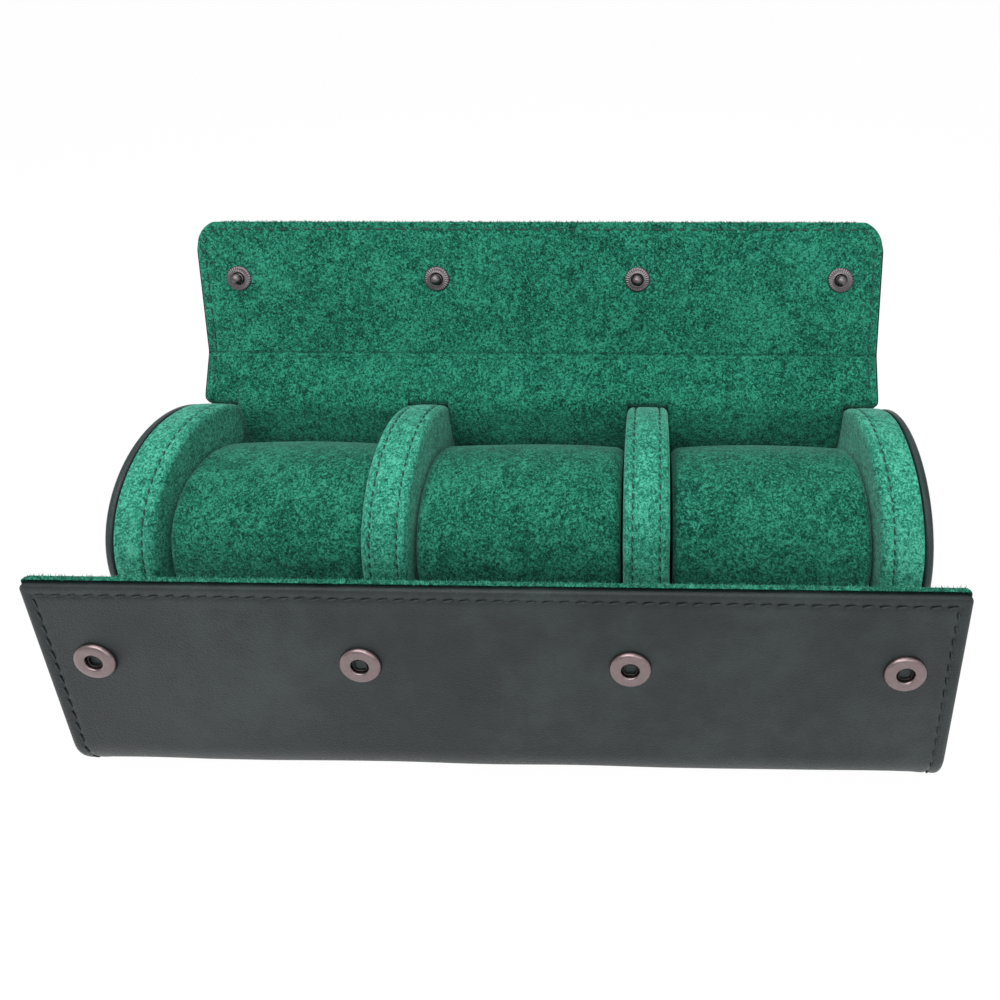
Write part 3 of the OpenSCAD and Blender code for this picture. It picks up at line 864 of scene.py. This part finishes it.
# ---------------------------------------------------------------- linings behind the pillows
# (y, z) from the rear fold down
LINING = [(25.25, 66.8), (24.05, 65.2), (22.95, 63.6), (22.2, 62.3), (21.7, 60.8), (21.45, 58.8),
          (21.35, 56.0), (21.35, 52.5), (21.4, 49.0), (21.8, 45.0), (22.9, 41.0), (24.6, 38.0)]
BAY_ROOM = 0.2


def lining(name, x0, x1, seed):
    """Suede panel from the rear fold down behind a pillow, from wall to wall."""
    line = np.array(LINING)
    at = np.concatenate([[0], np.cumsum(np.hypot(*np.diff(line, axis=0).T))])
    rows = np.arange(0, at[-1], 0.7)
    X, S = np.meshgrid(np.array(spread(x0, x1, GRID_X)), rows)
    Y = np.interp(S, at, line[:, 0]) + 0.2 * value_noise(X, S, 24, seed)
    Z = np.interp(S, at, line[:, 1])
    v = np.stack([X, Y, Z], -1).reshape(-1, 3)
    back = v + np.array([0, 0.5, -0.4])
    n, (h, w) = len(v), S.shape
    f = grid_faces(h, w)
    faces = list(f) + list(f[:, ::-1] + n)
    edge = list(range(w)) + [i * w + w - 1 for i in range(1, h)]
    edge += [(h - 1) * w + c for c in range(w - 2, -1, -1)] + [i * w for i in range(h - 2, 0, -1)]
    for a, b in zip(edge, edge[1:] + edge[:1]):
        faces.append([b, a, a + n, b + n])
    return new_mesh(name, np.vstack([v, back]) * MM, faces), float(rows[-1])


for word, wall0, wall1, seed in (("left", -BAY_OUTER, -BAY_SPLIT, 41), ("middle", -BAY_INNER, BAY_INNER, 42),
                                 ("right", BAY_SPLIT, BAY_OUTER, 43)):
    x0, x1 = wall0 + BAY_ROOM, wall1 - BAY_ROOM
    ob, length = lining(f"{word}_bay_lining", x0, x1, seed)
    finish_piece(ob, suede)
    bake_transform(ob)


# ---------------------------------------------------------------- snaps
def frame_at(origin, heading, out_sign, x, lift=0.0):
    """Matrix with local Z out of the flap's surface and local Y along the flap, lifted off it."""
    h, n = way(heading), way(heading + 90)
    along = Vector((0, h[0], h[1]))
    z = Vector((0, n[0], n[1])) * out_sign
    xx = along.cross(z)
    at = origin + out_sign * lift * n
    return Matrix(((xx[0], along[0], z[0], x * MM), (xx[1], along[1], z[1], at[0] * MM),
                   (xx[2], along[2], z[2], at[1] * MM), (0, 0, 0, 1)))


def lathe(profile, segments, wobble=None):
    """Points and faces of a profile [(radius, height)] turned round local Z."""
    R, Z, T = around(profile, segments)
    if wobble is not None:
        R, Z = wobble(R, Z, T)
    verts = np.stack([R * np.cos(T), R * np.sin(T), Z], -1).reshape(-1, 3)
    return verts, list(grid_faces(len(profile), segments, wrap_cols=True))


def put(name, shape, m, mat, body, nodes=()):
    """Places points and faces by a matrix, as one piece."""
    verts, faces = shape
    verts = verts * MM @ np.array(m.to_3x3()).T + np.array(m.translation)
    return finish_piece(new_mesh(name, verts, faces), mat, body, nodes)


def wire_loop(points, r, segments):
    """A round wire along a closed flat loop of points."""
    pts = np.array(points, float)
    n = len(pts)
    verts, faces = [], []
    for i in range(n):
        j = (i + 1) % n
        d = pts[j] - pts[i - 1]
        d /= np.linalg.norm(d)
        s = np.cross(d, np.array([0, 0, 1.0]))
        s /= np.linalg.norm(s)
        u = np.cross(s, d)
        for k in range(segments):
            a = 2 * math.pi * k / segments
            verts.append(pts[i] + r * (math.cos(a) * s + math.sin(a) * u))
            k2 = (k + 1) % segments
            faces.append([i * segments + k, i * segments + k2, j * segments + k2, j * segments + k])
    return np.array(verts), faces


def squarish(a, r=1.62, power=0.62):
    """Point on the spring's rounded-square loop at angle a."""
    c, s = math.cos(a), math.sin(a)
    return r * math.copysign(abs(c) ** power, c), r * math.copysign(abs(s) ** power, s), 0.35


# Profiles as (radius, height over the flap)
SOCKET = [(2.25, -0.9), (2.25, 0.75), (2.32, 0.98), (2.5, 1.15), (2.75, 1.22), (3.3, 1.26),
          (4.3, 1.2), (4.75, 1.1), (5.05, 0.9), (5.25, 0.6), (5.3, 0.3), (5.3, -0.05), (5.0, -0.2)]
WELL = [(0.05, -0.75), (1.2, -0.75), (2.26, -0.7), (2.3, -0.3)]
STUD = [(0.05, 3.15), (0.6, 3.08), (1.15, 2.86), (1.58, 2.45), (1.83, 1.95), (1.86, 1.5),
        (1.7, 1.1), (1.42, 0.85), (1.42, 0.62), (1.9, 0.58), (2.1, 0.74), (2.35, 0.82),
        (2.6, 0.72), (3.0, 0.62), (3.5, 0.6), (3.85, 0.56), (4.1, 0.42), (4.25, 0.2), (4.25, -0.1)]
BUTTON = [(0.05, 1.62), (1.2, 1.56), (2.4, 1.38), (3.5, 1.08), (4.4, 0.7), (5.0, 0.4),
          (5.35, 0.2), (5.5, 0.0), (5.5, -0.1)]
WIRE = [squarish(a) for a in np.linspace(0, 2 * math.pi, 40, endpoint=False)]


def knurl(R, Z, T):
    """Fine radial ribs on a stud's base."""
    band = (R > 2.7) & (R < 4.2)
    return R, Z + np.where(band, 0.09 * np.cos(T * 30), 0)


for i in range(4):
    x = (i - 1.5) * PITCH
    first = i == 0      # the first of each four stands for the whole node
    m = frame_at(SOCKET_AT, FRONT_HEADING, 1, x, WRAP_T)
    put(f"socket_ring_{i + 1}", lathe(SOCKET, 72), m, socket_metal, "front_4",
        ["snap_sockets", "socket_posts"] if first else [])
    put(f"socket_well_{i + 1}", lathe(WELL, 48), m, dark_metal, "front_4")
    put(f"socket_spring_{i + 1}", wire_loop(WIRE, 0.24, 10), m, dark_metal, "front_4")
    m = frame_at(STUD_AT, UPPER, 1, x)
    put(f"stud_{i + 1}", lathe(STUD, 120, knurl), m, stud_metal, "rear_3",
        ["snap_studs"] if first else [])
    m = frame_at(STUD_AT, UPPER, -1, x, WRAP_T)
    put(f"button_{i + 1}", lathe(BUTTON, 96), m, stud_metal, "rear_3",
        ["stud_buttons"] if first else [])


# ---------------------------------------------------------------- camera, floor, light
# The photograph's camera: angles, place in metres, focal length and image centre in pixels
YAW, DOWN, ROLL = math.radians(1.502), math.radians(29.351), math.radians(-0.505)
CAMERA_AT = (0.039028, -0.166336, 0.208559)
FOCAL, CENTRE_U, CENTRE_V, PHOTO = 695.943, 636.803, 302.721, 1000
SENSOR = 36
ahead = Vector((-math.sin(YAW) * math.cos(DOWN), math.cos(YAW) * math.cos(DOWN), -math.sin(DOWN)))
level = Vector((math.cos(YAW), math.sin(YAW), 0))
above = level.cross(ahead)
right = level * math.cos(ROLL) + above * math.sin(ROLL)
up = above * math.cos(ROLL) - level * math.sin(ROLL)
cam = bpy.data.cameras.new("camera")
cam.lens = FOCAL / PHOTO * SENSOR
cam.sensor_width = SENSOR
cam.shift_x = (PHOTO / 2 - CENTRE_U) / PHOTO
cam.shift_y = (CENTRE_V - PHOTO / 2) / PHOTO
cam.clip_start = 0.01
cam_ob = bpy.data.objects.new("camera", cam)
bpy.context.scene.collection.objects.link(cam_ob)
cam_ob.matrix_world = Matrix([(right[i], up[i], -ahead[i], CAMERA_AT[i]) for i in range(3)]
                             + [(0, 0, 0, 1)])
bpy.context.scene.camera = cam_ob

# The floor is pale, and white to the camera apart from a trace of the object's shadow
FLOOR_HALF, FLOOR_Z = 3, -0.0002
corners = [(x * FLOOR_HALF, y * FLOOR_HALF, FLOOR_Z) for x, y in ((-1, -1), (1, -1), (1, 1), (-1, 1))]
floor = new_mesh("floor", corners, [(0, 1, 2, 3)], False)
m, nt, b = node_material("floor")
b.inputs["Base Color"].default_value = (0.88, 0.88, 0.88, 1)
b.inputs["Roughness"].default_value = 0.9
b.inputs["Specular IOR Level"].default_value = 0.1
white = add(nt, "ShaderNodeEmission", Strength=1.0, Color=(1, 1, 1, 1))
path = nt.nodes.new("ShaderNodeLightPath")
both = nt.nodes.new("ShaderNodeMixShader")
out = [n for n in nt.nodes if n.type == "OUTPUT_MATERIAL"][0]
nt.links.new(math_node(nt, "MULTIPLY", path.outputs["Is Camera Ray"], 0.97), both.inputs[0])
nt.links.new(b.outputs[0], both.inputs[1])
nt.links.new(white.outputs[0], both.inputs[2])
nt.links.new(both.outputs[0], out.inputs[0])
floor.data.materials.append(m)

# The world is white to the camera and in reflections, and dimmer as light
world = bpy.data.worlds.new("world")
bpy.context.scene.world = world
world.use_nodes = True
wn = world.node_tree
wn.nodes.clear()
out = wn.nodes.new("ShaderNodeOutputWorld")
background = add(wn, "ShaderNodeBackground", Color=(1, 1, 1, 1))
path = wn.nodes.new("ShaderNodeLightPath")
seen = math_node(wn, "MAXIMUM", path.outputs["Is Camera Ray"], path.outputs["Is Transmission Ray"])
seen = math_node(wn, "MAXIMUM", seen, path.outputs["Is Glossy Ray"])
strength = math_node(wn, "ADD", math_node(wn, "MULTIPLY", seen, 0.45), 0.55)
wn.links.new(strength, background.inputs["Strength"])
wn.links.new(background.outputs[0], out.inputs[0])


def area_lamp(name, loc, target, size, power):
    d = bpy.data.lights.new(name, "AREA")
    d.shape = "RECTANGLE"
    d.size, d.size_y = size
    d.energy = power
    o = bpy.data.objects.new(name, d)
    bpy.context.scene.collection.objects.link(o)
    o.location = loc
    o.rotation_euler = (Vector(target) - Vector(loc)).to_track_quat("-Z", "Y").to_euler()


area_lamp("key", (-0.15, -0.45, 0.72), (0, 0, 0.04), (0.8, 0.5), 6.4)
area_lamp("fill", (0.35, -0.70, 0.45), (0, 0, 0.05), (0.8, 0.5), 2.2)
area_lamp("top", (0, 0.2, 0.9), (0, 0, 0.04), (0.9, 0.5), 3.5)

bpy.context.scene.view_settings.view_transform = "Standard"
